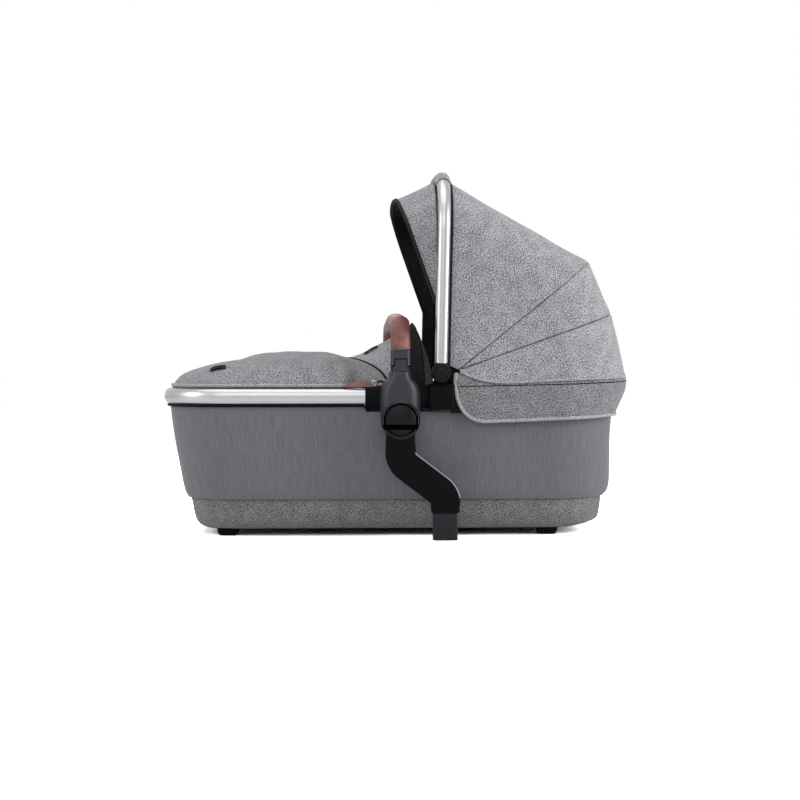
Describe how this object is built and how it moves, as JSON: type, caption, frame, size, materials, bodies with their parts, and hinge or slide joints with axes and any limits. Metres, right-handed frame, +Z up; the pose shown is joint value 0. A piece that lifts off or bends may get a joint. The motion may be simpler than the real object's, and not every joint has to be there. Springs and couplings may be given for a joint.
{
  "type": "pram carrycot",
  "caption": "Soft-sided pram carrycot with a silver rim, a folding hood with sun visor, a foot apron, a lift-off leather-wrapped handle and arms that plug into a chassis.",
  "frame": {"origin": "on the floor, under the middle of the whole carrycot's outline", "axes": "+X towards the head end and the hood, +Y to the left side, +Z up"},
  "size_m": [0.8632, 0.479, 0.6662],
  "materials": {
    "silver": "satin anodised aluminium tube",
    "smooth_fabric": "fine plain grey weave",
    "flecked_fabric": "flecked grey weave",
    "dark_fabric": "dark woven tab",
    "cotton": "light grey cotton jersey",
    "black_plastic": "fine-grained black plastic",
    "leather": "smooth brown leather",
    "steel": "plain steel",
    "board": "plain fibre board"
  },
  "bodies": {
    "cot": {"rim_tube_foot": "silver", "rim_tube_head": "silver", "body_fabric": "smooth_fabric", "base_fabric": "flecked_fabric", "base_tray": "black_plastic", "base_board": "board", "inner_liner": "cotton", "mattress": "cotton", "hood_skirt": "flecked_fabric", "zip_slider": "black_plastic", "apron": "flecked_fabric", "apron_collar": "flecked_fabric", "apron_tab": "dark_fabric", "collar_tab": "dark_fabric", "rim_sleeve_right": "black_plastic", "hub_cover_right": "black_plastic", "hub_back_right": "black_plastic", "arm_cover_right": "black_plastic", "arm_back_right": "black_plastic", "arm_plug_right": "black_plastic", "button_spring_right": "steel", "release_cable_right": "steel", "hood_clamp_right": "black_plastic", "pivot_pin_right": "black_plastic", "foot_end_foot_right": "black_plastic", "head_end_foot_right": "black_plastic", "rim_sleeve_left": "black_plastic", "hub_cover_left": "black_plastic", "hub_back_left": "black_plastic", "arm_cover_left": "black_plastic", "arm_back_left": "black_plastic", "arm_plug_left": "black_plastic", "button_spring_left": "steel", "release_cable_left": "steel", "hood_clamp_left": "black_plastic", "pivot_pin_left": "black_plastic", "foot_end_foot_left": "black_plastic", "head_end_foot_left": "black_plastic"},
    "handle": {"handle_tube": "steel", "handle_grip": "leather", "handle_end_right": "black_plastic", "handle_end_left": "black_plastic"},
    "hood_lower": {"rib_lower": "steel", "canopy_rear": "flecked_fabric"},
    "hood_upper": {"rib_upper": "steel", "canopy_middle": "flecked_fabric"},
    "hood_front": {"hood_bow": "silver", "bow_sleeve": "flecked_fabric", "bow_end_right": "black_plastic", "bow_end_left": "black_plastic", "canopy_front": "flecked_fabric"},
    "visor": {"visor_wire": "steel", "visor_fabric": "flecked_fabric"},
    "zip_puller": {"zip_puller": "black_plastic"},
    "button_right": {"release_button_right": "black_plastic"},
    "bolt_right": {"latch_bolt_right": "steel"},
    "tab_right": {"handle_tab_right": "black_plastic"},
    "button_left": {"release_button_left": "black_plastic"},
    "bolt_left": {"latch_bolt_left": "steel"},
    "tab_left": {"handle_tab_left": "black_plastic"}
  },
  "joints": [
    {"name": "hood_rear_fold", "type": "hinge", "parent": "cot", "child": "hood_lower", "pos_m": [0.06936, 0, 0.296], "axis": [0, 1, 0], "range_deg": [0, 12.9], "deforming": ["canopy_rear"]},
    {"name": "hood_middle_fold", "type": "hinge", "parent": "hood_lower", "child": "hood_upper", "pos_m": [0.06936, 0, 0.296], "axis": [0, 1, 0], "range_deg": [0, 14.5], "deforming": ["canopy_middle"]},
    {"name": "hood_fold", "type": "hinge", "parent": "hood_upper", "child": "hood_front", "pos_m": [0.06936, 0, 0.296], "axis": [0, 1, 0], "range_deg": [0, 47.4], "deforming": ["canopy_front"]},
    {"name": "visor_fold", "type": "hinge", "parent": "hood_front", "child": "visor", "pos_m": [0.07133, 0, 0.39], "axis": [0, 1, 0], "range_deg": [0, 20], "deforming": ["visor_fabric"]},
    {"name": "handle_lift", "type": "slide", "parent": "cot", "child": "handle", "axis": [0, 0, 1], "range_m": [0, 0.12]},
    {"name": "release_button_right_press", "type": "slide", "parent": "cot", "child": "button_right", "axis": [0, 1, 0], "range_m": [0, 0.004], "stiffness_N_per_m": 500, "springref_m": -0.004, "deforming": ["button_spring_right"]},
    {"name": "latch_bolt_right_draw", "type": "slide", "parent": "cot", "child": "bolt_right", "axis": [0, 0, 1], "range_m": [0, 0.006], "deforming": ["release_cable_right"]},
    {"name": "handle_tab_right_press", "type": "slide", "parent": "handle", "child": "tab_right", "axis": [0, 1, 0], "range_m": [0, 0.003], "stiffness_N_per_m": 600, "springref_m": -0.003},
    {"name": "release_button_left_press", "type": "slide", "parent": "cot", "child": "button_left", "axis": [0, -1, 0], "range_m": [0, 0.004], "stiffness_N_per_m": 500, "springref_m": -0.004, "deforming": ["button_spring_left"]},
    {"name": "latch_bolt_left_draw", "type": "slide", "parent": "cot", "child": "bolt_left", "axis": [0, 0, 1], "range_m": [0, 0.006], "deforming": ["release_cable_left"]},
    {"name": "handle_tab_left_press", "type": "slide", "parent": "handle", "child": "tab_left", "axis": [0, -1, 0], "range_m": [0, 0.003], "stiffness_N_per_m": 600, "springref_m": -0.003},
    {"name": "zip_puller_swing", "type": "hinge", "parent": "cot", "child": "zip_puller", "pos_m": [0.43013, 0, 0.2717], "axis": [0, -1, 0], "range_deg": [0, 90]}
  ],
  "couplings": [
    {"joint": "hood_rear_fold", "follows": "hood_fold", "ratio": 0.272},
    {"joint": "hood_middle_fold", "follows": "hood_fold", "ratio": 0.305},
    {"joint": "latch_bolt_right_draw", "follows": "release_button_right_press", "ratio": 1.5},
    {"joint": "latch_bolt_left_draw", "follows": "release_button_left_press", "ratio": 1.5}
  ]
}
